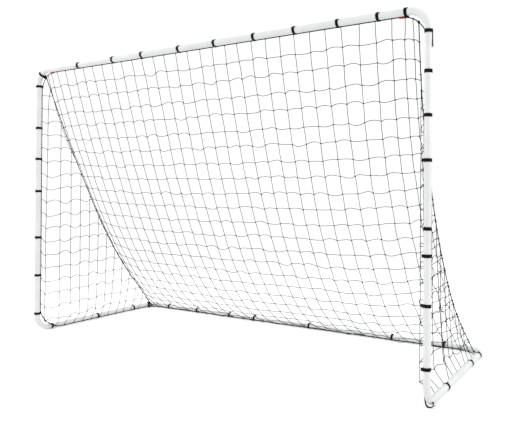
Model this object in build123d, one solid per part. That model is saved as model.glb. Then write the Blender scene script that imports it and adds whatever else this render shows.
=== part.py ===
from build123d import *
import os
from math import asin, cos, degrees, pi, radians, sin, sqrt, tan

# A free-standing football goal: a knock-down frame of round steel tube, with a net strapped inside it.
# Millimetres. +X runs along the crossbar to the right as seen from in front, +Y goes back into the
# goal and +Z up. The origin lies on the ground, under the middle of the frame's plan.

# ---------------------------------------------------------------- driving dimensions
overall_width = 3050      # outside of post to outside of post
overall_height = 1980     # ground to the top of the crossbar
overall_depth = 1220      # front of the posts to the back of the rear bar

tube_d = 38               # every tube of the frame
tube_wall = 1.2
bend_r = 100              # centre line of the six corner bends

crossbar_leg = 300        # corner of the centre lines to the first joint, along the crossbar
post_leg = 340            # the same, down the post
foot_leg = 350            # the same, up the post from the ground frame
rear_leg = 300            # the same, along the rear bar
side_joint_share = 0.5    # place of the side bar's joint, as a share of its length

spigot_len = 65           # swaged end that slides into the next tube
spigot_play = 0.2         # radial play between a swaged end and the tube over it
neck_len = 3              # cone between the full tube and its swaged end
spigot_lead = 1.5         # chamfer on the nose of a swaged end

button_d = 7.6            # snap button
button_play = 0.7         # radial play of a button in its holes
button_proud = 4          # how far a button stands out of the tube
button_place = 35         # joint line to button
button_lever = 50         # button to the bend that its leaf turns about
clip_w = 9                # spring strip
clip_t = 0.8
clip_play = 0.3           # strip to tube bore, and fixed leg to turning leaf
clip_tail = 8             # strip past the button

cord_d = 6                # border cord of the net
cord_play = 0.15          # cord to tube and strap
strap_w = 17              # hook-and-loop straps
strap_t = 1.5
strap_play = 2            # strap to button
strap_flats = 12          # flats that a strap makes round a tube
cord_flats = 6            # flats of a cord, which is plain here
net_t = 1                 # net panels, as plain sheets
net_play = 2              # sheet to strap
net_sag = 130             # how much further the middle of the back net hangs in than its sides
tie_d = 10                # whipping on the net's two top corners
tie_len = 22
tie_play = 1              # whipping to cord, which bends inside it
tie_place = 40            # end of a top bend to the middle of a whipping

top_gap = 19              # net's corner to the cord's place on the tube, inside the top bends
low_gap = 7               # the same in the four bends on the ground

# ---------------------------------------------------------------- frame centre lines
tube_r = tube_d / 2
bore_r = tube_r - tube_wall
spigot_r = bore_r - spigot_play
spigot_bore_r = spigot_r - tube_wall

half_w = overall_width / 2 - tube_r
front_y = tube_r - overall_depth / 2
rear_y = -front_y
top_z = overall_height - tube_r
ground_z = tube_r + cord_play + strap_t     # the ground tubes lie on their straps
side_joint_y = front_y + side_joint_share * (rear_y - front_y)

LEFT, RIGHT = -1, 1
SIDES = {"left": LEFT, "right": RIGHT}
UP, DOWN, BACK, FRONT = Vector(0, 0, 1), Vector(0, 0, -1), Vector(0, 1, 0), Vector(0, -1, 0)


def outward(side):
    """Unit vector along X towards one side of the goal."""
    return Vector(side, 0, 0)


def top_corner(side):
    return Vector(side * half_w, front_y, top_z)


def foot_corner(side):
    return Vector(side * half_w, front_y, ground_z)


def rear_corner(side):
    return Vector(side * half_w, rear_y, ground_z)


# ---------------------------------------------------------------- the twelve tube joints
# Each is the point of the joint line, the way that the swaged end goes in, and the way that its
# button looks: to the back on the crossbar and posts, and to the inside on the ground frame.
joints = {
    "crossbar_centre": (Vector(0, front_y, top_z), outward(RIGHT), BACK),
    "rear_centre": (Vector(0, rear_y, ground_z), outward(RIGHT), FRONT),
}
for name, side in SIDES.items():
    inward = outward(-side)
    joints["crossbar_end_" + name] = (top_corner(side) + inward * crossbar_leg, inward, BACK)
    joints["post_top_" + name] = (top_corner(side) + DOWN * post_leg, DOWN, BACK)
    joints["post_foot_" + name] = (foot_corner(side) + UP * foot_leg, UP, BACK)
    joints["side_" + name] = (Vector(side * half_w, side_joint_y, ground_z), BACK, inward)
    joints["rear_end_" + name] = (rear_corner(side) + inward * rear_leg, inward, FRONT)


def joint_plane(joint):
    """Local frame of a joint: Z the way the swaged end goes in, X the way the button looks."""
    point, axis, button_dir = joints[joint]
    return Plane(origin=point, x_dir=button_dir, z_dir=axis)


# ---------------------------------------------------------------- tubes
def ring(plane, outer_r, inner_r):
    return plane * (Circle(outer_r) - Circle(inner_r))


def spigot(joint):
    """Swaged end: a cone down from the full tube, then a sleeve as long as its engagement."""
    outline = Polyline(
        (bore_r, 0), (tube_r, 0), (spigot_r, neck_len), (spigot_r, spigot_len - spigot_lead),
        (spigot_r - spigot_lead / 2, spigot_len), (spigot_bore_r, spigot_len),
        (spigot_bore_r, neck_len), close=True,
    )
    return joint_plane(joint) * revolve(Plane.XZ * make_face(outline), Axis.Z)


def button_hole(joint):
    """Cutter for the button's hole in one wall of the tubes at a joint."""
    hole = Cylinder(button_d / 2 + button_play, tube_d, align=(Align.CENTER, Align.CENTER, Align.MIN))
    return joint_plane(joint) * (Pos(0, 0, button_place) * Rot(0, 90, 0) * hole)


def tube(start, end, corner=None, spigots=(), sockets=()):
    """A tube between two joints, straight or bent at a corner, swaged and drilled at its ends."""
    ends = []
    for joint in (start, end):
        point, axis, _ = joints[joint]
        ends.append(point + axis * neck_len if joint in sockets else point)
    if corner is None:
        path = Wire([Edge.make_line(ends[0], ends[1])])
    else:
        path = FilletPolyline(ends[0], corner, ends[1], radius=bend_r)
    section = Plane(origin=path @ 0, z_dir=path % 0)
    body = sweep(ring(section, tube_r, bore_r), path=path)
    for joint in spigots:
        body += spigot(joint)
    for joint in (start, end):
        body -= button_hole(joint)
    return body


# ---------------------------------------------------------------- snap buttons
leaf_top = sqrt((spigot_bore_r - clip_play) ** 2 - (clip_w / 2) ** 2)
leaf_mid = leaf_top - clip_t / 2
hinge_place = button_place - button_lever


def leaf(joint):
    """The half of the spring strip that turns, from the clip's bend to just past the button."""
    length = button_lever + clip_tail
    return joint_plane(joint) * (Pos(leaf_mid, 0, hinge_place + length / 2) * Box(clip_t, clip_w, length))


def button(joint):
    """The stud on the leaf that stands out through the holes of both tubes."""
    height = tube_r + button_proud - leaf_top
    stud = Cylinder(button_d / 2, height, align=(Align.CENTER, Align.CENTER, Align.MIN))
    return joint_plane(joint) * (Pos(leaf_top, 0, button_place) * Rot(0, 90, 0) * stud)


def fixed_spring(joint):
    """The rest of the clip: its bend and the leg that bears on the far wall of the bore."""
    root = hinge_place - clip_play
    bend = RegularPolygon(leaf_top, 8, major_radius=False, rotation=22.5)
    bend -= RegularPolygon(leaf_top - clip_t, 8, major_radius=False, rotation=22.5)
    bend = Pos(0, root) * bend & Pos(0, root - tube_r) * Rectangle(tube_d, tube_d)
    leg_len = button_place + clip_tail - root
    leg = Pos(-leaf_mid, root + leg_len / 2) * Rectangle(clip_t, leg_len)
    return joint_plane(joint) * extrude(Plane.XZ * (bend + leg), clip_w / 2, both=True)


# ---------------------------------------------------------------- border cords
cord_r = cord_d / 2
cord_off = tube_r + cord_play + cord_r     # centre of a tube to the centre of a cord against it


def toward(*parts):
    """Unit vector from a sum of directions."""
    total = Vector(0, 0, 0)
    for part in parts:
        total += part
    return total.normalized()


def bend_centre(corner, leg_a, leg_b, angle):
    """Centre and direction of the tube at an angle round a corner bend, counted from leg_a."""
    middle = corner + (leg_a + leg_b) * bend_r
    out = leg_b * -cos(radians(angle)) + leg_a * -sin(radians(angle))
    along = leg_b * sin(radians(angle)) - leg_a * cos(radians(angle))
    return middle + out * bend_r, along


def inside_bend(corner, leg_a, leg_b, angle, gap):
    """A point in the plane of a corner bend, a gap inside the cord's place on the tube."""
    centre, _ = bend_centre(corner, leg_a, leg_b, angle)
    return centre + (corner + (leg_a + leg_b) * bend_r - centre).normalized() * (cord_off + gap)


def lean(main, second):
    """A direction turned from one way towards another by one flat of a strap."""
    turn = 2 * pi / strap_flats
    return main * cos(turn) + second * sin(turn)


def post_cord(side):
    """The way from a post's centre to the cord: to the back, a little to the inside."""
    return lean(BACK, outward(-side)) * cord_off


crossbar_cord = lean(DOWN, BACK) * cord_off


def ground_cord_at(inward):
    """The way from a ground tube's centre to the cord, which lies low on the tube's inner side."""
    return lean(inward, DOWN) * cord_off


def net_top(side):
    """Where the net's top corner is tied, inside the bend."""
    return inside_bend(top_corner(side), outward(-side), DOWN, 55, top_gap) + BACK * 16


def net_foot(side):
    """Where the net's lower front corner lies, inside the bend at the foot of the post."""
    return inside_bend(foot_corner(side), UP, BACK, 45, low_gap) + outward(-side) * cord_off


def net_rear(side):
    """Where the net's rear corner is tied, inside the bend of the ground frame."""
    return inside_bend(rear_corner(side), FRONT, outward(-side), 45, low_gap) + DOWN * 12


def cord(points):
    """Round cord along a list of points, each corner rounded as far as its two runs allow."""
    radii = []
    for a, b, c in zip(points, points[1:], points[2:]):
        turn = radians((b - a).get_angle(c - b))
        radii.append(0.45 * min((b - a).length, (c - b).length) / tan(turn / 2))
    path = FilletPolyline(*points, radius=radii)
    section = Plane(origin=path @ 0, z_dir=path % 0) * RegularPolygon(cord_r, cord_flats)
    print("cord", round(path.length), "mm long, smallest radius", round(min(radii)), "mm")
    return path, sweep(section, path=path)


def mouth_route():
    """From the net's foot up one post, across under the crossbar and down the other post."""
    points = []
    for side in (LEFT, RIGHT):
        run = [
            net_foot(side) + UP * 8,
            foot_corner(side) + post_cord(side) + UP * (bend_r + 10),
            top_corner(side) + post_cord(side) + DOWN * (bend_r + 60),
            net_top(side),
            top_corner(side) + crossbar_cord + outward(-side) * (bend_r + 70),
        ]
        points += run if side == LEFT else run[::-1]
    return points


def ground_route():
    """From the foot of one post, back along the side bar, across the rear bar and forward again."""
    points = []
    for side in (LEFT, RIGHT):
        inward = outward(-side)
        on_side = ground_cord_at(inward)
        run = [
            net_foot(side) + BACK * 8,
            foot_corner(side) + inward * (cord_off + 5) + BACK * (bend_r + 12) + UP * 6,
            foot_corner(side) + on_side + BACK * (bend_r + 90),
            rear_corner(side) + on_side + FRONT * (bend_r + 60),
            net_rear(side),
            rear_corner(side) + ground_cord_at(FRONT) + inward * (bend_r + 60),
        ]
        points += run if side == LEFT else run[::-1]
    return points


# The cord from the net's top corner down to its rear corner hangs in under the weight of the net.
# Shares of the height and of the depth, and how far the net draws the cord in from the frame's side.
diagonal_hang = [
    (0.834, 0.100, 79), (0.695, 0.195, 92), (0.556, 0.305, 100), (0.422, 0.412, 103),
    (0.288, 0.548, 101), (0.170, 0.695, 96), (0.072, 0.852, 80),
]


def diagonal_points(side):
    """Top corner to rear corner of the net, on the way that the diagonal cord hangs."""
    points = [net_top(side) + BACK * 7]
    for up, back, drawn_in in diagonal_hang:
        height = ground_z + up * (top_z - ground_z)
        depth = front_y + back * (rear_y - front_y)
        points.append(Vector(side * (half_w - drawn_in), depth, height))
    points.append(net_rear(side) + UP * 7)
    return points


# ---------------------------------------------------------------- straps
# Shares of each straight run of tube at which a strap goes round the tube and the cord. A run ends
# where a strap would meet a button. The net is strapped on by hand, so the spacing isn't even and
# the two sides differ.
strap_shares = {
    "crossbar_left": [0.087, 0.389, 0.627, 0.906],
    "crossbar_right": [0.116, 0.377, 0.625, 0.868],
    "crossbar_leg_right": [0.180, 0.930],
    "post_leg_left": [0.060],
    "post_left": [0.033, 0.235, 0.446, 0.748, 0.995],
    "foot_leg_left": [0.930],
    "post_leg_right": [0.050, 0.865],
    "post_right": [0.116, 0.307, 0.597, 0.713, 0.924],
    "foot_leg_right": [0.680],
    "side_front_left": [0.040, 0.940],
    "side_rear_left": [0.717],
    "side_front_right": [0.458],
    "side_rear_right": [0.436, 0.896],
    "rear_leg_left": [0.675],
    "rear_bar_left": [0.183, 0.489, 0.711],
    "rear_bar_right": [0.122, 0.740],
    "rear_leg_right": [0.200],
}


def run_end(joint, along):
    """Last place for a strap on a run that meets a joint, where along points out of the run."""
    point, axis, _ = joints[joint]
    holds_button = (axis + along).length < 1
    return point + axis * (button_place + (button_d + strap_w) / 2 + strap_play) if holds_button else point


def straight_run(run):
    """First and last centre of a straight run of tube, left to right, downwards or front to back."""
    kind, _, hand = run.rpartition("_")
    side = SIDES[hand]
    inward = outward(-side)
    ends = {
        "crossbar": (run_end("crossbar_end_" + hand, -inward), run_end("crossbar_centre", inward)),
        "crossbar_leg": (run_end("crossbar_end_" + hand, inward), top_corner(side) + inward * bend_r),
        "post_leg": (top_corner(side) + DOWN * bend_r, run_end("post_top_" + hand, DOWN)),
        "post": (run_end("post_top_" + hand, UP), run_end("post_foot_" + hand, DOWN)),
        "foot_leg": (run_end("post_foot_" + hand, UP), foot_corner(side) + UP * bend_r),
        "side_front": (foot_corner(side) + BACK * bend_r, run_end("side_" + hand, BACK)),
        "side_rear": (run_end("side_" + hand, FRONT), rear_corner(side) + FRONT * bend_r),
        "rear_leg": (rear_corner(side) + inward * bend_r, run_end("rear_end_" + hand, inward)),
        "rear_bar": (run_end("rear_end_" + hand, -inward), run_end("rear_centre", inward)),
    }[kind]
    return ends if ends[0].X <= ends[1].X else ends[::-1]


def strap(centre, along, route, tube_play=cord_play):
    """A band round the tube and the cord beside it, drawn tight over both."""
    cord_centre = Vertex(centre).distance_to_with_closest_points(route)[2]
    plane = Plane(origin=centre, x_dir=cord_centre - centre, z_dir=along)
    gap = plane.to_local_coords(cord_centre).X
    loops = []
    for thick in (0, strap_t):
        tube_loop = RegularPolygon(tube_r + tube_play + thick, strap_flats, major_radius=False)
        tube_loop = Rot(0, 0, 180 / strap_flats) * tube_loop
        cord_loop = Pos(gap, 0) * RegularPolygon(cord_r + cord_play + thick, cord_flats, major_radius=False)
        loops.append(make_hull(tube_loop.edges() + cord_loop.edges()))
    return extrude(plane * (loops[1] - loops[0]), strap_w / 2, both=True)


def straps(runs, route, bends=()):
    """All the straps on some runs and bends, as separate bands in one group."""
    bands = []
    for run in runs:
        first, last = straight_run(run)
        for share in strap_shares.get(run, []):
            bands.append(strap(first + (last - first) * share, (last - first).normalized(), route))
    bend_play = cord_play + strap_w ** 2 / 8 / (bend_r - tube_r)
    for bend in bends:
        bands.append(strap(*bend_centre(*bend), route, bend_play))
    return Compound(children=bands)


# ---------------------------------------------------------------- net panels
net_in = cord_r + cord_play + strap_t + net_play     # centre of a cord to the edge of a panel


def sheet(rows):
    """Closed thin sheet through rows of points, thickened along its own normals."""
    count = len(rows[0])
    normals = []
    for i, row in enumerate(rows):
        line = []
        for j in range(count):
            down = rows[min(i + 1, len(rows) - 1)][j] - rows[max(i - 1, 0)][j]
            across = row[min(j + 1, count - 1)] - row[max(j - 1, 0)]
            line.append(across.cross(down).normalized() * (net_t / 2))
        normals.append(line)
    skins = []
    for sign in (1, -1):
        skins.append([[p + n * sign for p, n in zip(r, m)] for r, m in zip(rows, normals)])
    faces = []

    def patch(a, b, c, d):
        for corners in ((a, b, c), (a, c, d)):
            faces.append(Face(Wire.make_polygon(corners, close=True)))

    for skin in skins:
        for upper, lower in zip(skin, skin[1:]):
            for j in range(count - 1):
                patch(upper[j], upper[j + 1], lower[j + 1], lower[j])
    rims = [list(zip(*[skin[i] for skin in skins])) for i in (0, -1)]
    rims += [[(skins[0][i][j], skins[1][i][j]) for i in range(len(rows))] for j in (0, -1)]
    for rim in rims:
        for (a, b), (c, d) in zip(rim, rim[1:]):
            patch(a, b, d, c)
    return Solid(Shell(faces))


def back_panel():
    """The panel that slopes from the crossbar to the rear bar, and sags between its diagonal cords."""
    sag_dir = toward(FRONT * (top_z - ground_z), DOWN * (rear_y - front_y))
    rows = []
    hangs = [diagonal_points(side) for side in (LEFT, RIGHT)]
    for i, (left, right) in enumerate(zip(*hangs)):
        left, right = left + outward(RIGHT) * net_in, right + outward(LEFT) * net_in
        if i == 0:
            left, right = left + DOWN * net_in, right + DOWN * net_in
        if i == len(hangs[0]) - 1:
            ease = toward(FRONT, UP) * net_in
            left, right = left + ease, right + ease
        down = i / (len(hangs[0]) - 1)
        row_sag = net_sag * 4 * down * (1 - down)
        row = []
        for share in (0, 0.25, 0.5, 0.75, 1):
            row.append(left + (right - left) * share + sag_dir * row_sag * 4 * share * (1 - share))
        rows.append(row)
    return sheet(rows)


def side_panel(side):
    """The panel between a post, a side bar and the diagonal cord, drawn in along the cord."""
    hang = diagonal_points(side)
    edge_x = side * (half_w - tube_r)
    rows = []
    for i, point in enumerate(hang):
        share = i / (len(hang) - 1)
        last = i == len(hang) - 1
        inner = point + toward(outward(side), FRONT, UP * 3 if last else DOWN * 0.6) * net_in
        if share <= 0.5:
            height = top_z - bend_r - net_in - 2 * share * (top_z - ground_z - 2 * bend_r)
            outer = Vector(edge_x, front_y + tube_r + net_in, height)
        else:
            depth = front_y + bend_r + (2 * share - 1) * (rear_y - front_y - 2 * bend_r)
            outer = Vector(edge_x, depth, ground_z + tube_r + net_in)
        rows.append([outer, outer + (inner - outer) / 2, inner])
    return sheet(rows)


def corner_tie(route, side):
    """Coloured whipping round the border cord, just inside the net's top corner."""
    spot = top_corner(side) + outward(-side) * (bend_r + tie_place) + DOWN * (tube_d + tie_d) / 2
    middle = Vertex(spot).distance_to_with_closest_points(route)[2]
    along = route.tangent_at(route.param_at_point(middle))
    band = RegularPolygon(tie_d / 2, cord_flats) - RegularPolygon(cord_r + tie_play, cord_flats)
    return extrude(Plane(origin=middle, z_dir=along) * band, tie_len / 2, both=True)


# ---------------------------------------------------------------- build and write the nodes
def write(node, solid):
    export_step(solid, "parts/" + node + ".step")


def write_frame():
    write("crossbar_left", tube("crossbar_end_left", "crossbar_centre",
                                spigots=["crossbar_centre"], sockets=["crossbar_end_left"]))
    write("crossbar_right", tube("crossbar_centre", "crossbar_end_right",
                                 sockets=["crossbar_centre", "crossbar_end_right"]))
    write("rear_bar_left", tube("rear_end_left", "rear_centre",
                                spigots=["rear_centre"], sockets=["rear_end_left"]))
    write("rear_bar_right", tube("rear_centre", "rear_end_right",
                                 sockets=["rear_centre", "rear_end_right"]))
    for name, side in SIDES.items():
        crossbar, top = "crossbar_end_" + name, "post_top_" + name
        foot, middle, rear = "post_foot_" + name, "side_" + name, "rear_end_" + name
        write("top_corner_" + name, tube(crossbar, top, top_corner(side), spigots=[crossbar, top]))
        write("post_" + name, tube(top, foot, sockets=[top, foot]))
        write("foot_corner_" + name, tube(foot, middle, foot_corner(side), spigots=[foot, middle]))
        write("rear_corner_" + name, tube(middle, rear, rear_corner(side), spigots=[rear],
                                          sockets=[middle]))


def write_snap_buttons():
    for joint in joints:
        write("leaf_" + joint, leaf(joint))
        write("button_" + joint, button(joint))
    write("clip_springs", Compound(children=[fixed_spring(joint) for joint in joints]))


def write_net():
    mouth_path, mouth_cord = cord(mouth_route())
    ground_path, ground_cord = cord(ground_route())
    write("mouth_cord", mouth_cord)
    write("ground_cord", ground_cord)
    write("back_net", back_panel())
    for name, side in SIDES.items():
        write("diagonal_cord_" + name, cord(diagonal_points(side))[1])
        write("side_net_" + name, side_panel(side))
        write("corner_tie_" + name, corner_tie(mouth_path, side))
        runs = [kind + name for kind in ("post_leg_", "post_", "foot_leg_")]
        write("straps_post_" + name, straps(runs, mouth_path))
    left_bend = (top_corner(LEFT), outward(RIGHT), DOWN, 40)
    foot_bend = (foot_corner(RIGHT), UP, BACK, 50)
    rear_bend = (rear_corner(LEFT), FRONT, outward(RIGHT), 30)
    runs = ["crossbar_left", "crossbar_right", "crossbar_leg_left", "crossbar_leg_right"]
    write("straps_crossbar", straps(runs, mouth_path, [left_bend]))
    write("straps_side_left", straps(["side_front_left", "side_rear_left"], ground_path, [rear_bend]))
    write("straps_side_right", straps(["side_front_right", "side_rear_right"], ground_path, [foot_bend]))
    runs = ["rear_leg_left", "rear_bar_left", "rear_bar_right", "rear_leg_right"]
    write("straps_rear", straps(runs, ground_path))


os.makedirs("parts", exist_ok=True)
write_frame()
write_snap_buttons()
write_net()
travel = degrees(asin((tube_r + button_proud - bore_r + spigot_play) / button_lever))
print("nodes", len(os.listdir("parts")), "- a button clears the outer tube at", round(travel, 1), "degrees")
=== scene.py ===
import math

import bmesh
import bpy
import numpy as np
from mathutils import Matrix, Vector, kdtree


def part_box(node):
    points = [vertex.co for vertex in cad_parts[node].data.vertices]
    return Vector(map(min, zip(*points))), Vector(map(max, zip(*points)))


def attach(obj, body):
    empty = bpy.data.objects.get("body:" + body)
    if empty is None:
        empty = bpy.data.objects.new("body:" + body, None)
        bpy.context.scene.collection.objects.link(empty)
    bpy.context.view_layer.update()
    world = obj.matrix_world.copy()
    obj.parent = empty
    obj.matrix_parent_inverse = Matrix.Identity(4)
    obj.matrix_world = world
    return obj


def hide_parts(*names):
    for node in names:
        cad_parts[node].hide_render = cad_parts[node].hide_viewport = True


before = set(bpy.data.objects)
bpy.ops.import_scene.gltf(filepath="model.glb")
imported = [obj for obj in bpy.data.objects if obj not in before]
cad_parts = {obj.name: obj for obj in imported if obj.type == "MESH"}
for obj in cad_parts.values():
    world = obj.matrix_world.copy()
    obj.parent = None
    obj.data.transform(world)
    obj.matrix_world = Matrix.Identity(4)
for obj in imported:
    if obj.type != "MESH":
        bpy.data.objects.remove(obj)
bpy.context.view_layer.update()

# A knock-down football goal: white powder-coated steel tube, with a black knotted net that hangs
# from a braided cord, and hook-and-loop straps that hold the cord to the tube. Metres, as in the frame.
MM = 0.001

# ---------------------------------------------------------------- sizes
BEND_R = 100 * MM            # centre line of the corner bends
CORD_R = 3 * MM              # braided border cord
CORD_PLAY = 0.15 * MM
CORD_STEP = 2 * MM           # spacing of the braid's rings
CORD_SIDES = 12
PLAIT = 6.5 * MM             # length of one diamond of the braid
PLAIT_RISE = 0.25 * MM
PLAIT_SWELL = 0.09           # the same rise as a share of the core's radius
CORD_KNOT_R = 6.2 * MM

MESH = 102.5 * MM            # one side of a mesh of the side nets, along a row
MESH_DOWN = 99.5 * MM        # and of the back net, down a column
BACK_ROWS, BACK_COLUMNS = 23, 33
GATHER = (0.3, 0.5, 0.7, 0.9)  # widths of the first columns beside each diagonal cord, in meshes
BACK_SLACK = 1.008           # of a row's length over the space between the diagonals
BACK_SAG = 0.25              # of the middle of the panel, before it hangs
SIDE_ROW = 98.5 * MM         # height between the rows of the side nets
SIDE_COLUMN = 86 * MM        # their columns hang closer than a mesh, with slack strands between
SIDE_FIRST = {-1: 36 * MM, 1: 92 * MM}  # from the post's cord to the first column, left and right
SIDE_SLACK = 1.004
SIDE_INSET = 20 * MM         # of a side panel's first columns from the posts' plane
SIDE_CLEAR = 25 * MM         # from a panel's last knots up to the diagonal cord
TIE_SPREAD = 4 * MM          # how unevenly the net is tied to its cords
LENGTH_SPREAD = 0.018        # how unevenly its strands are cut
TWINE_R = 1.75 * MM
TWINE_SIDES = 6
KNOT_R = 3.6 * MM            # centre line of a knot's turns
RING_R = CORD_R + TWINE_R    # the twine's turn round the border cord

STRAP_W = 17 * MM
STRAP_T = 1.5 * MM
STRAP_STEP = 3 * MM
STRAP_OVERLAP = 26 * MM
STRAP_RISE = 6 * MM          # length over which a strap climbs onto its own start
STRAP_CURL = 0.05
STRAP_SLANT = 0.03           # how unevenly the straps are wound, in radians
SEAM_SPREAD = 0.25           # and closed
SHORT_TAIL, LONG_TAIL = 6 * MM, 20 * MM
MOST_STRAPS = 20             # on one node
TAIL_DROP = 88 * MM          # the folded strap end that hangs down the right post
TAIL_TURN = 10               # degrees from outwards towards the back
THREAD_R = 1.0 * MM          # red whipping thread
WHIPPING = 36 * MM
WHIPPING_SWELL = 2.2 * MM    # the turns lie in layers, thickest at the middle
WHIPPING_PLACE = 40 * MM     # from the end of the corner bend

UP, DOWN = Vector((0, 0, 1)), Vector((0, 0, -1))
BACK, FRONT = Vector((0, 1, 0)), Vector((0, -1, 0))
LEFT, RIGHT = -1, 1
SIDES = {"left": LEFT, "right": RIGHT}

rng = np.random.default_rng(7)


# ---------------------------------------------------------------- camera
def place_camera():
    """A camera that looks along the crossbar from the right, at chest height."""
    data = bpy.data.cameras.new("camera")
    data.lens, data.sensor_width = 40.96, 36
    data.shift_x, data.shift_y = -0.0824, -0.0451
    camera = bpy.data.objects.new("camera", data)
    bpy.context.scene.collection.objects.link(camera)
    place = Matrix.Translation((2.3965, -3.3436, 1.0510))
    yaw, pitch, roll = -0.5373, 0.0053, 0.0061
    ahead = Vector((math.sin(yaw) * math.cos(pitch), math.cos(yaw) * math.cos(pitch), math.sin(pitch)))
    level = Vector((math.cos(yaw), -math.sin(yaw), 0))
    above = level.cross(ahead)
    right = level * math.cos(roll) + above * math.sin(roll)
    top = above * math.cos(roll) - level * math.sin(roll)
    camera.matrix_world = place @ Matrix((right, top, -ahead)).transposed().to_4x4()
    bpy.context.scene.camera = camera


place_camera()


# ---------------------------------------------------------------- places, from the frame
def middle(node):
    low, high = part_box(node)
    return (low + high) / 2


TUBE_R = (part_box("post_left")[1].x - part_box("post_left")[0].x) / 2
HALF_W = middle("post_right").x
FRONT_Y = middle("post_right").y
REAR_Y = middle("rear_bar_left").y
TOP_Z = middle("crossbar_left").z
GROUND_Z = middle("rear_bar_left").z
CORD_OFF = TUBE_R + CORD_PLAY + CORD_R


def outward(side):
    return Vector((side, 0, 0))


def top_corner(side):
    return Vector((side * HALF_W, FRONT_Y, TOP_Z))


def foot_corner(side):
    return Vector((side * HALF_W, FRONT_Y, GROUND_Z))


def rear_corner(side):
    return Vector((side * HALF_W, REAR_Y, GROUND_Z))


def bend_point(corner, leg_a, leg_b, angle):
    """A point of a tube's centre line on a corner bend, at an angle counted from leg_a."""
    turn = math.radians(angle)
    return corner + (leg_a + leg_b) * BEND_R - (leg_b * math.cos(turn) + leg_a * math.sin(turn)) * BEND_R


def frame_line(corners):
    """Close points along the centre line of tubes that turn at some corners."""
    points = [corners[0]]
    for before, corner, after in zip(corners, corners[1:], corners[2:]):
        leg_a, leg_b = (before - corner).normalized(), (after - corner).normalized()
        points += [bend_point(corner, leg_a, leg_b, angle) for angle in range(0, 91, 3)]
    points.append(corners[-1])
    return resample(np.array(points), CORD_STEP)


# ---------------------------------------------------------------- lines
def lengths_along(line):
    return np.concatenate([[0], np.cumsum(np.linalg.norm(np.diff(line, axis=0), axis=1))])


def at_lengths(line, places):
    """Points at some lengths along a line."""
    run = lengths_along(line)
    return np.stack([np.interp(places, run, line[:, k]) for k in range(3)], axis=1)


def resample(line, step):
    total = lengths_along(line)[-1]
    return at_lengths(line, np.linspace(0, total, max(2, round(total / step))))


def nearest(line, point):
    """Index of the point of a line that is nearest to a given one."""
    return np.argmin(np.linalg.norm(line - np.array(point), axis=1))


def length_at(line, point):
    """Length along a line at its nearest point to a given one."""
    return lengths_along(line)[nearest(line, point)]


def length_where(line, axis, value):
    """Length along a line where one of its coordinates comes nearest to a value."""
    return lengths_along(line)[np.argmin(np.abs(line[:, axis] - value))]


def tangent_at(line, place):
    ends = at_lengths(line, [place - 3 * MM, place + 3 * MM])
    return Vector(ends[1] - ends[0]).normalized()


def as_mesh(curve):
    """A curve as a mesh of its own, in place of the curve."""
    holder = bpy.data.objects.new(curve.name, curve)
    mesh = bpy.data.meshes.new_from_object(holder)
    bpy.data.objects.remove(holder)
    bpy.data.curves.remove(curve)
    return mesh


def spline_line(points):
    """Points along the smooth line of a cord, whose route is the spline's control points."""
    curve = bpy.data.curves.new("route", "CURVE")
    curve.dimensions = "3D"
    curve.resolution_u = 24
    spline = curve.splines.new("NURBS")
    spline.points.add(len(points) - 1)
    for control, point in zip(spline.points, points):
        control.co = (*point, 1)
    spline.order_u = 3
    spline.use_endpoint_u = True
    mesh = as_mesh(curve)
    line = np.array([vert.co for vert in mesh.vertices])
    bpy.data.meshes.remove(mesh)
    return resample(line, CORD_STEP)


# ---------------------------------------------------------------- cord routes
# The net's corners are drawn in from the middle of the tube's bends by these gaps.
TOP_GAP, TOP_BACK, TOP_ANGLE = 15 * MM, 16 * MM, 43
LOW_GAP, LOW_ANGLE = 7 * MM, 45
REAR_DROP = 12 * MM
FOOT_KNOT, DIAGONAL_KNOT = 8 * MM, 7 * MM  # from a corner to a cord's end in its knot


def inside_bend(corner, leg_a, leg_b, angle, gap):
    """A point in the plane of a corner bend, a gap inside the cord's place on the tube."""
    on_tube = bend_point(corner, leg_a, leg_b, angle)
    return on_tube + (corner + (leg_a + leg_b) * BEND_R - on_tube).normalized() * (CORD_OFF + gap)


def lean(main, second):
    """A direction turned by 30 degrees from one way towards another."""
    return main * math.cos(math.pi / 6) + second * math.sin(math.pi / 6)


def post_cord(side):
    return lean(BACK, outward(-side)) * CORD_OFF


def ground_cord_at(inward):
    return lean(inward, DOWN) * CORD_OFF


crossbar_cord = lean(DOWN, BACK) * CORD_OFF


def net_top(side):
    return inside_bend(top_corner(side), outward(-side), DOWN, TOP_ANGLE, TOP_GAP) + BACK * TOP_BACK


def net_foot(side):
    return inside_bend(foot_corner(side), UP, BACK, LOW_ANGLE, LOW_GAP) + outward(-side) * CORD_OFF


def net_rear(side):
    corner = inside_bend(rear_corner(side), FRONT, outward(-side), LOW_ANGLE, LOW_GAP)
    return corner + DOWN * REAR_DROP


def pulled_to(point, before, after):
    """The control point that takes a smooth line through a point where a strap pulls it aside."""
    return point + (point - (before + after) / 2) / 3


def mouth_route():
    """From the net's foot up one post, across under the crossbar and down the other post."""
    points = []
    close, straight = BEND_R + 15 * MM, BEND_R + 120 * MM
    for side in (LEFT, RIGHT):
        inward = outward(-side)
        foot, head = foot_corner(side) + post_cord(side), top_corner(side) + post_cord(side)
        bar = top_corner(side) + crossbar_cord
        run = [
            net_foot(side) + UP * FOOT_KNOT,
            foot + UP * (BEND_R + 10 * MM),
            foot + UP * (BEND_R + 70 * MM),
            head + DOWN * straight,
            head + DOWN * close,
            pulled_to(net_top(side), head + DOWN * close, bar + inward * close),
            bar + inward * close,
            bar + inward * straight,
        ]
        points += run if side == LEFT else run[::-1]
    return points


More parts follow.
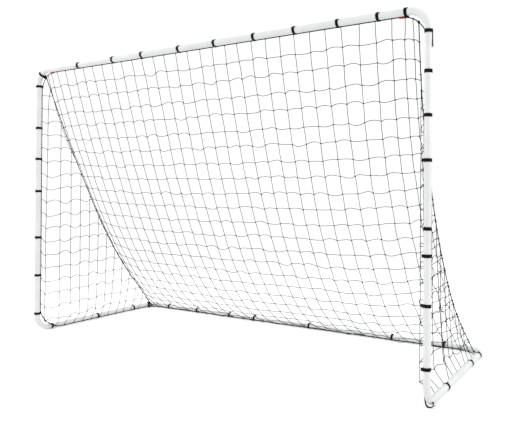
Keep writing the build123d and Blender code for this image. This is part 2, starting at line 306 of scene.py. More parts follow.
def ground_route():
    """From the foot of one post, back along the side bar, across the rear bar and forward again."""
    points = []
    for side in (LEFT, RIGHT):
        inward = outward(-side)
        front, rear = foot_corner(side) + ground_cord_at(inward), rear_corner(side) + ground_cord_at(inward)
        bar = rear_corner(side) + ground_cord_at(FRONT)
        off_bend = inward * (CORD_OFF + 5 * MM) + UP * 6 * MM
        run = [
            net_foot(side) + BACK * FOOT_KNOT,
            foot_corner(side) + off_bend + BACK * (BEND_R + 12 * MM),
            front + BACK * (BEND_R + 90 * MM),
            front + BACK * (BEND_R + 170 * MM),
            rear + FRONT * (BEND_R + 170 * MM),
            rear + FRONT * (BEND_R + 60 * MM),
            net_rear(side),
            bar + inward * (BEND_R + 60 * MM),
            bar + inward * (BEND_R + 170 * MM),
        ]
        points += run if side == LEFT else run[::-1]
    return points


# Shares of the height and of the depth, and how far the net draws the cord in, in millimetres.
diagonal_hang = [
    (0.834, 0.100, 79), (0.695, 0.195, 92), (0.556, 0.305, 100), (0.422, 0.412, 103),
    (0.288, 0.548, 101), (0.170, 0.695, 96), (0.072, 0.852, 80),
]


def diagonal_route(side):
    """From the net's top corner to its rear corner, as the cord hangs in under the net's weight."""
    points = [net_top(side) + BACK * DIAGONAL_KNOT]
    for up, back, drawn_in in diagonal_hang:
        height = GROUND_Z + up * (TOP_Z - GROUND_Z)
        depth = FRONT_Y + back * (REAR_Y - FRONT_Y)
        points.append(Vector((side * (HALF_W - drawn_in * MM), depth, height)))
    points.append(net_rear(side) + UP * DIAGONAL_KNOT)
    return points


mouth_line = spline_line(mouth_route())
ground_line = spline_line(ground_route())
diagonal_lines = {side: spline_line(diagonal_route(side)) for side in (LEFT, RIGHT)}


# ---------------------------------------------------------------- materials
def linear(hex_colour):
    """An sRGB hex colour as linear red, green, blue and alpha."""
    values = [int(hex_colour[i:i + 2], 16) / 255 for i in (0, 2, 4)]
    return [v / 12.92 if v <= 0.04045 else ((v + 0.055) / 1.055) ** 2.4 for v in values] + [1.0]


def add(tree, kind, inputs=None, stops=(), **settings):
    """A new node with its settings. An input is a value, an output, or a node for its first output.

    The stops are a colour ramp's: a place and a hex colour each.
    """
    made = tree.nodes.new("ShaderNode" + kind)
    for name, value in settings.items():
        setattr(made, name, value)
    for name, value in (inputs or {}).items():
        if isinstance(value, bpy.types.Node):
            value = value.outputs[0]
        if isinstance(value, bpy.types.NodeSocket):
            tree.links.new(value, made.inputs[name])
        else:
            made.inputs[name].default_value = value
    for k, (place, hex_colour) in enumerate(stops):
        made.color_ramp.elements[k].position = place
        made.color_ramp.elements[k].color = linear(hex_colour)
    return made


def new_material(name):
    """A material with nothing in its node tree yet."""
    material = bpy.data.materials.new(name)
    material.use_nodes = True
    material.node_tree.nodes.clear()
    return material, material.node_tree


def powder_coated_steel():
    """White polyester powder coat: satin, with the faint orange peel of a baked film."""
    material, tree = new_material("white_powder_coated_steel")
    peel_width, patch_width, peel_depth = 2.2 * MM, 90 * MM, 0.05 * MM
    place = add(tree, "TexCoord").outputs["Object"]
    peel = add(tree, "TexNoise", {"Vector": place, "Scale": 1 / peel_width, "Detail": 2.0})
    tone = add(tree, "TexNoise", {"Vector": place, "Scale": 1 / patch_width, "Detail": 3.0})
    colour = add(tree, "ValToRGB", {"Fac": tone}, stops=((0.3, "EEEFF1"), (0.7, "F8F8F8")))
    gloss = add(tree, "MapRange", {"Value": tone, "To Min": 0.26, "To Max": 0.4})
    bump = add(tree, "Bump", {"Height": peel, "Strength": 0.25, "Distance": peel_depth})
    surface = add(tree, "BsdfPrincipled", {"Base Color": colour, "Roughness": gloss, "Normal": bump,
                                           "IOR": 1.5, "Coat Weight": 0.15, "Coat Roughness": 0.2})
    add(tree, "OutputMaterial", {"Surface": surface})
    return material


def spring_steel():
    """Blue-grey tempered strip: metal whose fine rolling marks spread its shine."""
    material, tree = new_material("tempered_spring_steel")
    mark_width = 0.6 * MM
    place = add(tree, "TexCoord").outputs["Object"]
    grain = add(tree, "TexNoise", {"Vector": place, "Scale": 1 / mark_width, "Detail": 4.0})
    colour = add(tree, "ValToRGB", {"Fac": grain}, stops=((0.3, "6E727A"), (0.7, "9498A0")))
    gloss = add(tree, "MapRange", {"Value": grain, "To Min": 0.25, "To Max": 0.5})
    surface = add(tree, "BsdfPrincipled", {"Base Color": colour, "Roughness": gloss, "Metallic": 1.0})
    add(tree, "OutputMaterial", {"Surface": surface})
    return material


def nickel_plated_button():
    """Nickel plate on a turned stud: bright and slightly warm, with faint turning marks."""
    material, tree = new_material("nickel_plated_button")
    mark_width = 0.8 * MM
    place = add(tree, "TexCoord").outputs["Object"]
    marks = add(tree, "TexNoise", {"Vector": place, "Scale": 1 / mark_width, "Detail": 2.0})
    colour = add(tree, "ValToRGB", {"Fac": marks}, stops=((0.3, "C6C2BA"), (0.7, "DEDAD2")))
    gloss = add(tree, "MapRange", {"Value": marks, "To Min": 0.12, "To Max": 0.28})
    surface = add(tree, "BsdfPrincipled", {"Base Color": colour, "Roughness": gloss, "Metallic": 1.0})
    add(tree, "OutputMaterial", {"Surface": surface})
    return material


def polyethylene_twine():
    """Black twisted polyethylene twine of the net: a dull plastic gleam along fine filaments."""
    material, tree = new_material("black_polyethylene_twine")
    # The real filaments are about 0.2 mm wide, too fine to show, so they are drawn coarser.
    filament_width, filament_depth = 1.1 * MM, 0.3 * MM
    place = add(tree, "TexCoord").outputs["Object"]
    fibre = add(tree, "TexNoise", {"Vector": place, "Scale": 1 / filament_width, "Detail": 3.0})
    colour = add(tree, "ValToRGB", {"Fac": fibre}, stops=((0.3, "020203"), (0.75, "101013")))
    gloss = add(tree, "MapRange", {"Value": fibre, "To Min": 0.4, "To Max": 0.65})
    bump = add(tree, "Bump", {"Height": fibre, "Strength": 0.6, "Distance": filament_depth})
    surface = add(tree, "BsdfPrincipled", {"Base Color": colour, "Roughness": gloss, "Normal": bump,
                                           "IOR": 1.5, "Specular IOR Level": 0.25})
    add(tree, "OutputMaterial", {"Surface": surface})
    return material


def braided_polypropylene():
    """Black braided polypropylene cord: its plaits are in the mesh, its filaments in the bump."""
    material, tree = new_material("black_braided_polypropylene")
    # The real filaments are about 0.1 mm wide, too fine to show, so they are drawn coarser.
    filament_width, filament_depth = 0.9 * MM, 0.25 * MM
    place = add(tree, "TexCoord").outputs["Object"]
    fibre = add(tree, "TexNoise", {"Vector": place, "Scale": 1 / filament_width, "Detail": 4.0})
    colour = add(tree, "ValToRGB", {"Fac": fibre}, stops=((0.3, "020203"), (0.75, "0E0E10")))
    gloss = add(tree, "MapRange", {"Value": fibre, "To Min": 0.45, "To Max": 0.7})
    bump = add(tree, "Bump", {"Height": fibre, "Strength": 0.5, "Distance": filament_depth})
    surface = add(tree, "BsdfPrincipled", {"Base Color": colour, "Roughness": gloss, "Normal": bump,
                                           "IOR": 1.49, "Specular IOR Level": 0.25,
                                           "Sheen Weight": 0.05, "Sheen Roughness": 0.4})
    add(tree, "OutputMaterial", {"Surface": surface})
    return material


def hook_and_loop():
    """Black nylon hook-and-loop strap: matt, with a soft nap of loops that is darker in patches."""
    material, tree = new_material("black_hook_and_loop_nylon")
    # The real loops are about 0.5 mm across, too fine to show, so they are drawn coarser.
    loop_width, loop_depth, patch_width = 1.3 * MM, 0.5 * MM, 5 * MM
    place = add(tree, "TexCoord").outputs["Object"]
    nap = add(tree, "TexVoronoi", {"Vector": place, "Scale": 1 / loop_width, "Randomness": 1.0})
    fluff = add(tree, "TexNoise", {"Vector": place, "Scale": 1 / patch_width, "Detail": 4.0})
    colour = add(tree, "ValToRGB", {"Fac": fluff}, stops=((0.3, "020203"), (0.7, "0D0D0F")))
    bump = add(tree, "Bump", {"Height": nap, "Strength": 0.7, "Distance": loop_depth})
    surface = add(tree, "BsdfPrincipled", {"Base Color": colour, "Normal": bump, "Roughness": 0.92,
                                           "Specular IOR Level": 0.2,
                                           "Sheen Weight": 0.08, "Sheen Roughness": 0.5})
    add(tree, "OutputMaterial", {"Surface": surface})
    return material


def red_thread():
    """Red nylon whipping thread: a soft gleam on close turns, with its filaments in the bump."""
    material, tree = new_material("red_nylon_thread")
    # The real filaments are under 0.1 mm wide, too fine to show, so they are drawn coarser.
    filament_width, filament_depth = 0.7 * MM, 0.2 * MM
    place = add(tree, "TexCoord").outputs["Object"]
    fibre = add(tree, "TexNoise", {"Vector": place, "Scale": 1 / filament_width, "Detail": 3.0})
    colour = add(tree, "ValToRGB", {"Fac": fibre}, stops=((0.3, "7C1418"), (0.7, "B8262C")))
    bump = add(tree, "Bump", {"Height": fibre, "Strength": 0.4, "Distance": filament_depth})
    surface = add(tree, "BsdfPrincipled", {"Base Color": colour, "Normal": bump, "Roughness": 0.5,
                                           "Sheen Weight": 0.3})
    add(tree, "OutputMaterial", {"Surface": surface})
    return material


white_tube = powder_coated_steel()
tempered_strip = spring_steel()
button_nickel = nickel_plated_button()
net_twine = polyethylene_twine()
cord_braid = braided_polypropylene()
strap_nylon = hook_and_loop()
tie_thread = red_thread()


# ---------------------------------------------------------------- pieces from lines
def finish_piece(name, mesh, material, replaces=()):
    """A finished mesh as a piece of the goal's fixed body."""
    piece = bpy.data.objects.new(name, mesh)
    bpy.context.scene.collection.objects.link(piece)
    piece.data.materials.clear()
    piece.data.materials.append(material)
    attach(piece, "goal")
    if replaces:
        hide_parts(*replaces)
    return piece


def new_curve(radius, sides):
    """An empty curve whose lines get a round section with that many sides."""
    curve = bpy.data.curves.new("lines", "CURVE")
    curve.dimensions = "3D"
    curve.bevel_depth = radius
    curve.bevel_resolution = (sides - 4) // 2
    curve.resolution_u = 5
    curve.use_fill_caps = True
    return curve


def add_line(curve, points, closed=False):
    """A line through close points."""
    spline = curve.splines.new("POLY")
    spline.points.add(len(points) - 1)
    spline.points.foreach_set("co", np.column_stack([points, np.ones(len(points))]).ravel())
    spline.use_cyclic_u = closed


def braided_mesh(line):
    """A tube along a cord's line, with the diamonds of a round braid raised on it."""
    curve = new_curve(CORD_R - PLAIT_RISE, CORD_SIDES)
    curve.use_fill_caps = False
    add_line(curve, line)
    mesh = as_mesh(curve)
    co = np.array([vert.co for vert in mesh.vertices]).reshape(-1, CORD_SIDES, 3)
    centre = co.mean(axis=1, keepdims=True)
    around = np.arange(CORD_SIDES) * 2 * math.pi / CORD_SIDES
    phase = lengths_along(line)[:len(co), None] * math.pi / PLAIT
    height = np.cos(2 * around + phase) * np.cos(2 * around - phase)
    co = centre + (co - centre) * (1 + PLAIT_SWELL * height[:, :, None])
    mesh.vertices.foreach_set("co", co.ravel())
    shell = bmesh.new()
    shell.from_mesh(mesh)
    bmesh.ops.holes_fill(shell, edges=shell.edges, sides=0)
    bmesh.ops.recalc_face_normals(shell, faces=shell.faces)
    shell.to_mesh(mesh)
    shell.free()
    return mesh


# ---------------------------------------------------------------- the net's shape
TICK = 1 / 60                # seconds
FALL_STEPS = 420
PULLS = 14                   # rounds of drawing the strands tight in each step
GRAVITY = np.array([0, 0, -9.81])
SPEED_KEPT = 0.985
NET_FLOOR = 3 * TWINE_R      # the lowest that a knot lies


class Net:
    """Knots, the strands that join them, and the twine's turns round the border cords."""

    def __init__(self):
        self.places, self.held = [], []
        self.strands, self.lengths, self.across = [], [], []
        self.rings = []

    def knot(self, place, held=False):
        self.places.append(np.array(place, float))
        self.held.append(held)
        return len(self.places) - 1

    def pin(self, line, place, towards):
        """A held knot on the side of a cord that looks at the net, where the twine turns round it."""
        centre = Vector(at_lengths(line, [place])[0])
        along = tangent_at(line, place)
        out = Vector(towards) - centre
        out = (out - along * out.dot(along)).normalized()
        self.rings.append((centre, along))
        return self.knot(centre + out * RING_R, held=True)

    def strand(self, a, b, length, across):
        self.strands.append((a, b))
        self.lengths.append(length * rng.normal(1, LENGTH_SPREAD))
        self.across.append(across)

    def join(self, chain, lengths, across):
        """Strands along a chain of knots, all lengthened where they are too short to reach."""
        straight = sum(np.linalg.norm(self.places[b] - self.places[a]) for a, b in zip(chain, chain[1:]))
        stretch = max(1.0, straight * SIDE_SLACK / sum(lengths))
        for a, b, length in zip(chain, chain[1:], lengths):
            self.strand(a, b, length * stretch, across)

    def rounds(self):
        """Strands in groups that share no knot, so that each group can be drawn tight at once."""
        groups, used = [], []
        for k, pair in enumerate(self.strands):
            for group, taken in zip(groups, used):
                if not taken & set(pair):
                    group.append(k)
                    taken |= set(pair)
                    break
            else:
                groups.append([k])
                used.append(set(pair))
        return [np.array(group) for group in groups]

    def hang(self):
        """Lets the knots fall until the strands hold them: a strand pulls, and never pushes."""
        places = np.array(self.places)
        start = places.copy()
        free = ~np.array(self.held)
        pairs, lengths = np.array(self.strands), np.array(self.lengths)
        groups = []
        for group in self.rounds():
            a, b = pairs[group].T
            moving = np.maximum(free[a].astype(int) + free[b], 1)
            groups.append((a, b, lengths[group], (free[a] / moving)[:, None], (free[b] / moving)[:, None]))
        speed = np.zeros_like(places)
        for _ in range(FALL_STEPS):
            before = places.copy()
            speed[free] += GRAVITY * TICK
            places[free] += speed[free] * TICK
            for _ in range(PULLS):
                for a, b, length, share_a, share_b in groups:
                    gap = places[b] - places[a]
                    reach = np.linalg.norm(gap, axis=1)
                    pull = gap * np.maximum(0, 1 - length / reach)[:, None]
                    places[a] += pull * share_a
                    places[b] -= pull * share_b
                places[:, 2] = np.where(free, np.maximum(places[:, 2], NET_FLOOR), places[:, 2])
            speed = (places - before) / TICK * SPEED_KEPT
        places[~free] = start[~free]
        self.places = places


def gathered():
    """The back net's column widths as shares of its width: gathered beside the two diagonal cords."""
    widths = np.ones(BACK_COLUMNS)
    widths[:len(GATHER)] = GATHER
    widths[-len(GATHER):] = GATHER[::-1]
    return widths / widths.sum()


def back_net():
    """The back panel's knots, hung from the crossbar, the rear bar and the two diagonal cords."""
    net = Net()
    shares = gathered()
    marks = np.concatenate([[0], np.cumsum(shares)])
    edges = []
    for line, corner in ((mouth_line, net_top), (ground_line, net_rear)):
        first, last = length_at(line, corner(LEFT)), length_at(line, corner(RIGHT))
        edges.append((line, first + (last - first) * marks))
    sides = {}
    for side, line in diagonal_lines.items():
        sides[side] = (line, np.linspace(0, lengths_along(line)[-1], BACK_ROWS + 1))
    tops, feet = [at_lengths(line, places) for line, places in edges]
    lefts, rights = [at_lengths(*sides[side]) for side in (LEFT, RIGHT)]
    up_the_net, down_the_net = np.array([0, -0.02, 1.0]), np.array([0, 0.02, -1.0])
    ids = {}
    for row in range(BACK_ROWS + 1):
        for column in range(BACK_COLUMNS + 1):
            jitter = rng.normal(0, TIE_SPREAD)
            inner_row, inner_column = 0 < row < BACK_ROWS, 0 < column < BACK_COLUMNS
            if inner_row and inner_column:
                down, over = row / BACK_ROWS, marks[column]
                across = lefts[row] * (1 - over) + rights[row] * over
                place = (across + tops[column] * (1 - down) + feet[column] * down) / 2
                place[2] -= BACK_SAG * math.sin(math.pi * down) * math.sin(math.pi * over)
                ids[row, column] = net.knot(place)
            elif inner_column:
                line, places = edges[0 if row == 0 else 1]
                place = places[column] + jitter
                towards = at_lengths(line, [place])[0] + (up_the_net if row else down_the_net)
                ids[row, column] = net.pin(line, place, towards)
            elif inner_row:
                side = LEFT if column == 0 else RIGHT
                line, places = sides[side]
                place = places[row] + jitter
                ids[row, column] = net.pin(line, place, at_lengths(line, [place])[0] - [side, 0, 0])
    for row in range(1, BACK_ROWS):
        width = np.linalg.norm(lefts[row] - rights[row]) * BACK_SLACK
        for column, share in enumerate(shares):
            net.strand(ids[row, column], ids[row, column + 1], width * share, True)
    for column in range(1, BACK_COLUMNS):
        for row in range(BACK_ROWS):
            net.strand(ids[row, column], ids[row + 1, column], MESH_DOWN, False)
    return net


def half_up_to(line, side, point):
    """One side's part of a cord that goes right round the goal, from its end to near a point."""
    run = line if side == LEFT else line[::-1]
    run = run[:len(run) // 2]
    return run[:nearest(run, point)]


def side_net(side):
    """A side panel's knots, between the post, the side bar and the diagonal cord."""
    net = Net()
    line = diagonal_lines[side]
    rising = line[::-1]
    post = half_up_to(mouth_line, side, net_top(side))
    bar = half_up_to(ground_line, side, net_rear(side))
    first_y, first_z = FRONT_Y + post_cord(side).y, GROUND_Z + ground_cord_at(FRONT).z
    columns = range(int((REAR_Y - first_y - SIDE_FIRST[side]) / SIDE_COLUMN))
    rows = range(1, int((TOP_Z - first_z) / SIDE_ROW))
    column_y = [first_y + SIDE_FIRST[side] + column * SIDE_COLUMN for column in columns]
    cord_above = [np.interp(y, line[:, 1], line[:, 2]) for y in column_y]
    ids = {}
    for column, y in zip(columns, column_y):
        for row in rows:
            z = first_z + row * SIDE_ROW
            if z < cord_above[column] - SIDE_CLEAR:
                share = (y - first_y) / max(np.interp(z, rising[:, 2], rising[:, 1]) - first_y, 0.01)
                at_cord = np.interp(z, rising[:, 2], rising[:, 0])
                x = side * (HALF_W - SIDE_INSET) * (1 - share) + at_cord * share
                ids[column, row] = net.knot((x, y, z))
    for row in rows:
        z = first_z + row * SIDE_ROW
        inner = [column for column in columns if (column, row) in ids]
        if not inner:
            continue
        start = net.pin(post, length_where(post, 2, z), (side * HALF_W, 2, z))
        place = length_where(line, 2, z)
        end = net.pin(line, place, at_lengths(line, [place])[0] + [side * 0.3, -1, 0])
        slack = MESH / SIDE_COLUMN
        last = (np.interp(z, rising[:, 2], rising[:, 1]) - column_y[inner[-1]]) * slack
        lengths = [SIDE_FIRST[side] * slack, *[MESH] * (len(inner) - 1), last]
        net.join([start, *[ids[column, row] for column in inner], end], lengths, True)
    for column, y in zip(columns, column_y):
        inner = [row for row in rows if (column, row) in ids]
        if not inner:
            continue
        start = net.pin(bar, length_where(bar, 1, y), (side * (HALF_W - 0.1), y, 2))
        place = length_where(line, 1, y)
        end = net.pin(line, place, at_lengths(line, [place])[0] + [side * 0.3, 0, -1])
        last = cord_above[column] - first_z - inner[-1] * SIDE_ROW
        net.join([start, *[ids[column, row] for row in inner], end], [SIDE_ROW] * len(inner) + [last], False)
    return net


# ---------------------------------------------------------------- the net's twine
LEAN_SPREAD = 0.5            # of the strands' waves out of the net's face, in radians
SPARE, SPARE_SPREAD = 0.025, 0.02  # extra length of the strands along the rows, as shares
LEAST_SLACK, MOST_SLACK = 0.0006, 0.12
BOW_UP = 0.68                # share of the strands that bow upwards
STEEPEST = 0.9               # slope of a wave at its knot
TURN_SPREAD = 0.8            # of the slope that a knot gives all its strands
RING_SLANT = 0.22            # spread of the turns round the cords, in radians


def bowed_strand(curve, a, b, length, normal, turns, across):
    """A strand between two knots: straight when tight, and in a soft wave when it has slack."""
    chord = b - a
    gap = np.linalg.norm(chord)
    along = chord / gap
    sideways = np.cross(normal, along)
    sideways /= np.linalg.norm(sideways)
    if sideways[2] < 0:
        sideways = -sideways
    tilt = rng.normal(0, LEAN_SPREAD)
    sideways = sideways * math.cos(tilt) + np.cross(along, sideways) * math.sin(tilt)
    spare = abs(rng.normal(SPARE, SPARE_SPREAD)) if across else 0
    slack = min(max(length / gap - 1 + spare, LEAST_SLACK), MOST_SLACK)
    bow = 1 if rng.random() < BOW_UP else -1
    first, last = bow + turns[0], -bow + turns[1]
    # A cubic that leaves its chord at two slopes is longer by this share of it.
    longer = (2 * first ** 2 + 2 * last ** 2 - first * last + 1e-6) / 30
    size = math.sqrt(slack / longer)
    first, last = np.clip([first * size, last * size], -STEEPEST, STEEPEST)
    spline = curve.splines.new("BEZIER")
    spline.bezier_points.add(1)
    for point, place, slope in zip(spline.bezier_points, (a, b), (first, last)):
        handle = (along + sideways * slope) * gap / 3
        point.co = place
        point.handle_left, point.handle_right = place - handle, place + handle


def knot_turns(curve, place, along, normal, size=KNOT_R, count=12):
    """A tight three-lobed knot round a crossing, a little longer than it is wide, and flat."""
    across = np.cross(normal, along)
    spin = rng.uniform(0, 2 * math.pi)
    t = np.linspace(0, 2 * math.pi, count, endpoint=False)
    u = (np.sin(t + spin) + 2 * np.sin(2 * t + spin)) / 3
    v = (np.cos(t + spin) - 2 * np.cos(2 * t + spin)) / 3
    w = -np.sin(3 * t) / 2.2
    points = place + size * (np.outer(u * 1.15, along) + np.outer(v * 0.9, across) + np.outer(w, normal))
    add_line(curve, points, closed=True)


def ring_turn(curve, centre, along):
    """A turn of twine round a cord, a little aslant."""
    aside = along.orthogonal().normalized()
    turn = Matrix.Rotation(rng.normal(0, RING_SLANT), 3, aside)
    first, second = turn @ aside, turn @ along.cross(aside)
    angles = np.linspace(0, 2 * math.pi, 10, endpoint=False)
    points = [centre + (first * math.cos(angle) + second * math.sin(angle)) * RING_R for angle in angles]
    add_line(curve, np.array(points), closed=True)


def make_net(panel, net, out):
    """The twine of a hung panel: its strands with the turns round the cords, and its knots."""
    strands, knots = new_curve(TWINE_R, TWINE_SIDES), new_curve(TWINE_R, TWINE_SIDES)
    near = {}
    for a, b in net.strands:
        near.setdefault(a, []).append(b)
        near.setdefault(b, []).append(a)
    out = np.array(out, float)
    normals = {}
    for k, others in near.items():
        normals[k] = out
        if not net.held[k] and len(others) == 4:
            spans = net.places[others] - net.places[k]
            normals[k] = np.linalg.svd(spans)[2][-1]
            normals[k] *= 1 if normals[k] @ out > 0 else -1
    turns = rng.normal(0, TURN_SPREAD, len(net.places))
    for (a, b), length, across in zip(net.strands, net.lengths, net.across):
        bowed_strand(strands, net.places[a], net.places[b], length, normals[a] + normals[b],
                     (turns[a], turns[b]), across)
    for k, others in near.items():
        if not net.held[k]:
            along = net.places[others[0]] - net.places[k]
            along -= normals[k] * (along @ normals[k])
            knot_turns(knots, net.places[k], along / np.linalg.norm(along), normals[k])
    for centre, along in net.rings:
        ring_turn(strands, centre, along)
    finish_piece(panel + "_strands", as_mesh(strands), net_twine, [panel])
    finish_piece(panel + "_knots", as_mesh(knots), net_twine)


# ---------------------------------------------------------------- straps
def strap_places(node, line):
    """Places along a tube's centre line where the bands of a strap node sit."""
    run = lengths_along(line)
    tree = kdtree.KDTree(len(line))
    for k, point in enumerate(line):
        tree.insert(point, k)
    tree.balance()
    found = np.sort([run[tree.find(vert.co)[1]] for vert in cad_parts[node].data.vertices])
    bands = np.split(found, np.flatnonzero(np.diff(found) > 3 * STRAP_W) + 1)
    return [(band[0] + band[-1]) / 2 for band in bands]


def wrap_outline(gap, seam):
    """Points and outward ways round a tube and the cord beside it, drawn tight, from a seam angle."""
    big, small = TUBE_R + CORD_PLAY + STRAP_T / 2, CORD_R + CORD_PLAY + STRAP_T / 2
    touch = math.acos((big - small) / gap)
    points, ways = [], []
    for centre, radius, first, last in ((0, big, touch, 2 * math.pi - touch), (gap, small, -touch, touch)):
        count = max(6, round(radius * (last - first) / STRAP_STEP))
        for angle in np.linspace(first, last, count):
            way = np.array([math.cos(angle), math.sin(angle)])
            points.append(np.array([centre, 0]) + way * radius)
            ways.append(way)
    points, ways = np.array(points), np.array(ways)
    from_seam = np.arctan2(points[:, 1], points[:, 0]) - seam
    start = np.argmin(np.abs(np.angle(np.exp(1j * from_seam))))
    return np.roll(points, -start, axis=0), np.roll(ways, -start, axis=0)


def strap_path(gap, seam, tail):
    """The middle line of a strap's section: once round, over its own start, and a free tail."""
    loop, ways = wrap_outline(gap, seam)
    closed, ways = np.vstack([loop, loop[:1]]), np.vstack([ways, ways[:1]])
    run = lengths_along(closed)
    places = np.arange(0, run[-1] + STRAP_OVERLAP, STRAP_STEP)
    flat = np.column_stack([np.interp(places % run[-1], run, closed[:, k]) for k in (0, 1)])
    out = np.column_stack([np.interp(places % run[-1], run, ways[:, k]) for k in (0, 1)])
    out /= np.linalg.norm(out, axis=1)[:, None]
    climb = np.clip((places - run[-1] + STRAP_RISE) / STRAP_RISE, 0, 1)
    path = flat + out * (climb * STRAP_T * 1.08)[:, None]
    heading = path[-1] - path[-2]
    heading /= np.linalg.norm(heading)
    for _ in np.arange(STRAP_STEP, tail, STRAP_STEP):
        path = np.vstack([path, path[-1] + heading * STRAP_STEP])
        heading = heading + out[-1] * STRAP_CURL
        heading /= np.linalg.norm(heading)
    return path


def strap_band(centre, along, cord_point, seam, tail, skew):
    """The middle surface of one strap round the tube and the cord."""
    to_cord = cord_point - centre
    to_cord -= along * to_cord.dot(along)
    x_way = to_cord.normalized()
    y_way = along.cross(x_way)
    path = strap_path(to_cord.length, seam, tail)
    tilt = Matrix.Rotation(skew, 3, x_way)
    last = len(path) - 1
    band = bmesh.new()
    for vert in bmesh.ops.create_grid(band, x_segments=last, y_segments=4, size=0.5)["verts"]:
        x, y = path[min(last, round((vert.co.x + 0.5) * last))]
        vert.co = centre + tilt @ (x_way * x + y_way * y + along * (vert.co.y * STRAP_W))
    return band


def hanging_end(centre):
    """A strap's long end, folded down to hang in a slight wave along the side of the right post."""
    band = bmesh.new()
    for vert in bmesh.ops.create_grid(band, x_segments=30, y_segments=6, size=0.5)["verts"]:
        fall, over = vert.co.x + 0.5, vert.co.y
        lift = TUBE_R + CORD_PLAY + STRAP_T * (1.6 + 1.2 * fall ** 3)
        turn = math.radians(TAIL_TURN) + over * STRAP_W / lift + 0.06 * math.sin(5 * fall)
        way = Vector((math.cos(turn), math.sin(turn), 0))
        vert.co = centre + way * lift + DOWN * (fall * TAIL_DROP - STRAP_W / 2)
    return band


def make_straps(node, line, cord_line, seams, tails):
    """All the straps of one node, each with its own seam, tail and slant."""
    joined = bmesh.new()
    places = strap_places(node, line)
    for place, seam, tail in zip(places, seams, tails):
        centre = Vector(at_lengths(line, [place])[0])
        cord_point = Vector(cord_line[nearest(cord_line, centre)])
        slant = rng.normal(0, STRAP_SLANT)
        bands = [strap_band(centre, tangent_at(line, place), cord_point, seam, tail, slant)]
        if node == "straps_post_right" and place == places[0]:
            bands.append(hanging_end(centre))
        for band in bands:
            loose = bpy.data.meshes.new("band")
            band.to_mesh(loose)
            band.free()
            joined.from_mesh(loose)
            bpy.data.meshes.remove(loose)
    bmesh.ops.recalc_face_normals(joined, faces=joined.faces)
    mesh = bpy.data.meshes.new(node)
    joined.to_mesh(mesh)
    joined.free()
    mesh.shade_smooth()
    piece = finish_piece(node + "_hook_and_loop", mesh, strap_nylon, [node])
    wall = piece.modifiers.new("thickness", "SOLIDIFY")
    wall.thickness, wall.offset = STRAP_T * 0.94, 0
    edges = piece.modifiers.new("soft_edges", "BEVEL")
    edges.width, edges.segments, edges.limit_method = 0.3 * MM, 2, "ANGLE"


# ---------------------------------------------------------------- whippings and corner knots
def make_whipping(name, side):
    """Close turns of red thread round the border cord, just inside a top corner."""
    spot = top_corner(side) + outward(-side) * (BEND_R + WHIPPING_PLACE) + crossbar_cord
    middle_place = length_at(mouth_line, spot)
    turns = round(WHIPPING / (2 * THREAD_R))
    points = []
    for share in np.linspace(0, 1, turns * 12):
        place = middle_place + (share - 0.5) * WHIPPING
        along = tangent_at(mouth_line, place)
        first = along.cross(UP).normalized()
        second = along.cross(first)
        angle = share * turns * 2 * math.pi
        centre = Vector(at_lengths(mouth_line, [place])[0])
        reach = CORD_R + THREAD_R + WHIPPING_SWELL * math.sin(math.pi * share) ** 0.6
        points.append(centre + (first * math.cos(angle) + second * math.sin(angle)) * reach)
    curve = new_curve(THREAD_R, TWINE_SIDES)
    add_line(curve, np.array(points))
    finish_piece(name + "_thread", as_mesh(curve), tie_thread, [name])


def make_corner_knots():
    """The cords' knots: where each diagonal starts and ends, and at the mouth cord's two ends."""
    curve = new_curve(CORD_R * 0.93, 8)
    spots = [(diagonal_lines[side], end) for side in (LEFT, RIGHT) for end in (0, -1)]
    spots += [(mouth_line, 0), (mouth_line, -1)]
    for line, end in spots:
        along = Vector(line[3 if end == 0 else -4] - line[end]).normalized()
        normal = along.orthogonal().normalized()
        knot_turns(curve, line[end], np.array(along), np.array(normal), CORD_KNOT_R, 28)
    finish_piece("cord_corner_knots", as_mesh(curve), cord_braid)


# ---------------------------------------------------------------- build
for node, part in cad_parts.items():
    look = white_tube
    if node.startswith(("leaf_", "clip_")):
        look = tempered_strip
    elif node.startswith("button_"):
        look = button_nickel
    part.data.materials.clear()
    part.data.materials.append(look)

finish_piece("mouth_cord_braid", braided_mesh(mouth_line), cord_braid, ["mouth_cord"])
finish_piece("ground_cord_braid", braided_mesh(ground_line), cord_braid, ["ground_cord"])
for side_name, side in SIDES.items():
    name = "diagonal_cord_" + side_name
    finish_piece(name + "_braid", braided_mesh(diagonal_lines[side]), cord_braid, [name])
    make_whipping("corner_tie_" + side_name, side)
make_corner_knots()

hung = back_net()
hung.hang()
make_net("back_net", hung, (0, -1, 1))
for side_name, side in SIDES.items():
    hung = side_net(side)
    hung.hang()
    make_net("side_net_" + side_name, hung, (side, 0, 0))

mouth_frame = frame_line([foot_corner(LEFT), top_corner(LEFT), top_corner(RIGHT), foot_corner(RIGHT)])
ground_frame = frame_line([foot_corner(LEFT), rear_corner(LEFT), rear_corner(RIGHT), foot_corner(RIGHT)])
# Each strap node, the tube and the cord that it holds, and where round the tube its seams are, in radians.
strap_rows = (
    ("straps_crossbar", mouth_frame, mouth_line, 2.4),
    ("straps_post_left", mouth_frame, mouth_line, 2.4),
    ("straps_post_right", mouth_frame, mouth_line, 2.7),
    ("straps_side_left", ground_frame, ground_line, 2.4),
    ("straps_side_right", ground_frame, ground_line, 2.4),
    ("straps_rear", ground_frame, ground_line, 2.4),
)
for node, line, cord_line, seam in strap_rows:
    seams = rng.normal(seam, SEAM_SPREAD, MOST_STRAPS)
    tails = rng.uniform(SHORT_TAIL, LONG_TAIL, MOST_STRAPS)
    make_straps(node, line, cord_line, seams, tails)


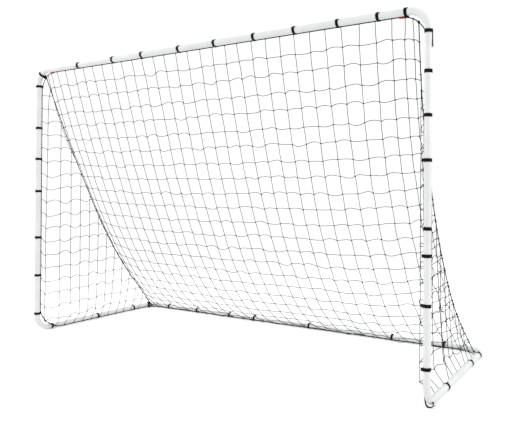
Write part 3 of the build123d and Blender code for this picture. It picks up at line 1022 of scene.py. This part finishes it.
# ---------------------------------------------------------------- floor and light
def make_floor():
    """A pale floor that fades into the white of the room."""
    shape = bmesh.new()
    bmesh.ops.create_circle(shape, cap_ends=True, radius=14, segments=96)
    mesh = bpy.data.meshes.new("floor")
    shape.to_mesh(mesh)
    shape.free()
    floor = bpy.data.objects.new("floor", mesh)
    bpy.context.scene.collection.objects.link(floor)
    floor.location.z = -0.5 * MM
    material, tree = new_material("pale_studio_floor")
    paint = add(tree, "BsdfPrincipled", {"Base Color": linear("DCDCDC"), "Roughness": 0.8})
    seen = add(tree, "LightPath").outputs["Is Camera Ray"]
    strength = add(tree, "MapRange", {"Value": seen, "To Min": 0.1, "To Max": 0.45})
    glow = add(tree, "Emission", {"Color": (1, 1, 1, 1), "Strength": strength})
    paper = add(tree, "AddShader", {0: paint, 1: glow})
    place = add(tree, "TexCoord").outputs["Object"]
    reach = add(tree, "VectorMath", {0: place}, operation="LENGTH").outputs["Value"]
    fade = add(tree, "MapRange", {"Value": reach, "From Min": 2.5, "From Max": 6.0})
    mixed = add(tree, "MixShader", {0: fade, 1: paper, 2: add(tree, "BsdfTransparent")})
    add(tree, "OutputMaterial", {"Surface": mixed})
    mesh.materials.append(material)


def area_light(name, place, power):
    """A square soft box that looks at the middle of the goal."""
    data = bpy.data.lights.new(name, "AREA")
    data.shape, data.size, data.energy = "SQUARE", 3.0, power
    light = bpy.data.objects.new(name, data)
    bpy.context.scene.collection.objects.link(light)
    light.location = place
    aim = Vector((0, 0, TOP_Z / 2)) - Vector(place)
    light.rotation_mode = "QUATERNION"
    light.rotation_quaternion = aim.to_track_quat("-Z", "Y")


def light_room():
    """A white room that is a little dimmer than it looks, and two soft boxes."""
    world = bpy.data.worlds.new("studio")
    world.use_nodes = True
    tree = world.node_tree
    tree.nodes.clear()
    backdrop = add(tree, "Background", {"Color": (1, 1, 1, 1), "Strength": 1.05})
    room = add(tree, "Background", {"Color": (0.985, 1, 0.995, 1), "Strength": 0.9})
    seen = add(tree, "LightPath").outputs["Is Camera Ray"]
    mixed = add(tree, "MixShader", {0: seen, 1: room, 2: backdrop})
    add(tree, "OutputWorld", {"Surface": mixed})
    bpy.context.scene.world = world
    area_light("left_box", (-5.0, -1.2, 3.4), 80)
    area_light("right_box", (5.2, 0.6, 3.0), 45)


bpy.context.scene.view_settings.view_transform = "Standard"
make_floor()
light_room()
